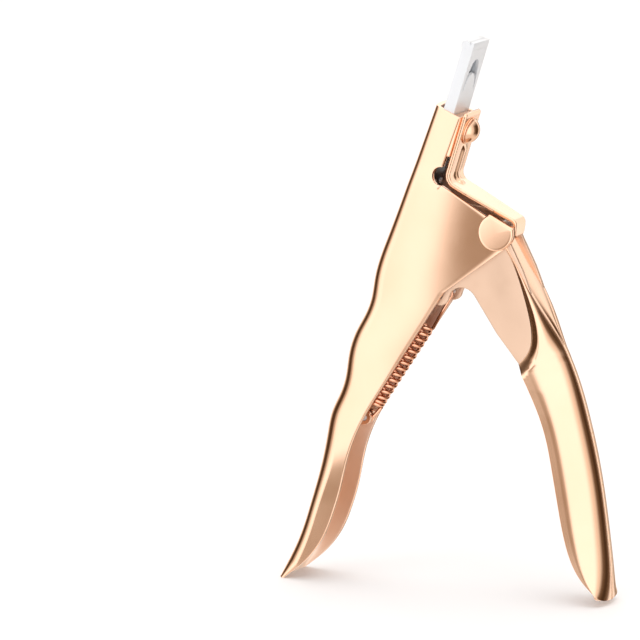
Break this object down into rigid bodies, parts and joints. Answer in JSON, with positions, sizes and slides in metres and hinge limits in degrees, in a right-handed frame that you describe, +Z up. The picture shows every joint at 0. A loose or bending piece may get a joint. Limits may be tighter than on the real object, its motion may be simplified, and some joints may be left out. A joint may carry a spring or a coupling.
{
  "type": "nail tip cutter",
  "caption": "Hand-held guillotine cutter for false nail tips: squeezing the sprung lever slides a blade up through an arched slot in the steel head.",
  "frame": {"origin": "middle of the tool's footprint, on the surface that both handle tips stand on", "axes": "+X from the fixed handle to the lever, +Y across the width, +Z up towards the head"},
  "size_m": [0.0994, 0.0157, 0.1567],
  "materials": {
    "rose_gold": "polished rose-gold plating",
    "polished_steel": "polished stainless steel",
    "blade_steel": "dark, fine-ground tool steel",
    "copper_wire": "rose-gold plated spring wire"
  },
  "bodies": {
    "fixed_handle": {"body_shell": "rose_gold", "cover_bracket": "rose_gold", "clamp_screw": "rose_gold", "screw_washer": "rose_gold", "guide_frame": "polished_steel", "guide_plate": "polished_steel", "guide_rivets": "polished_steel", "pivot_pin": "polished_steel", "pivot_washers": "polished_steel", "spring_anchor": "rose_gold", "anchor_pin": "polished_steel", "return_spring": "copper_wire"},
    "lever": {"lever_shell": "rose_gold", "pivot_bush": "polished_steel", "drive_pin": "polished_steel", "spring_pin": "polished_steel"},
    "blade_slide": {"blade": "blade_steel", "blade_carrier": "rose_gold", "blade_rivets": "polished_steel"}
  },
  "joints": [
    {"name": "lever_pivot", "type": "hinge", "parent": "fixed_handle", "child": "lever", "pos_m": [0.0168, 0, 0.104], "axis": [0, 1, 0], "range_deg": [0, 14], "stiffness_Nm_per_rad": 0.6, "springref_deg": -18.91, "deforming": ["return_spring"]},
    {"name": "blade_travel", "type": "slide", "parent": "fixed_handle", "child": "blade_slide", "axis": [0.3007, 0, 0.9537], "range_m": [0, 0.0059]}
  ],
  "couplings": [
    {"joint": "blade_travel", "follows": "lever_pivot", "m_per_rad": 0.024}
  ]
}
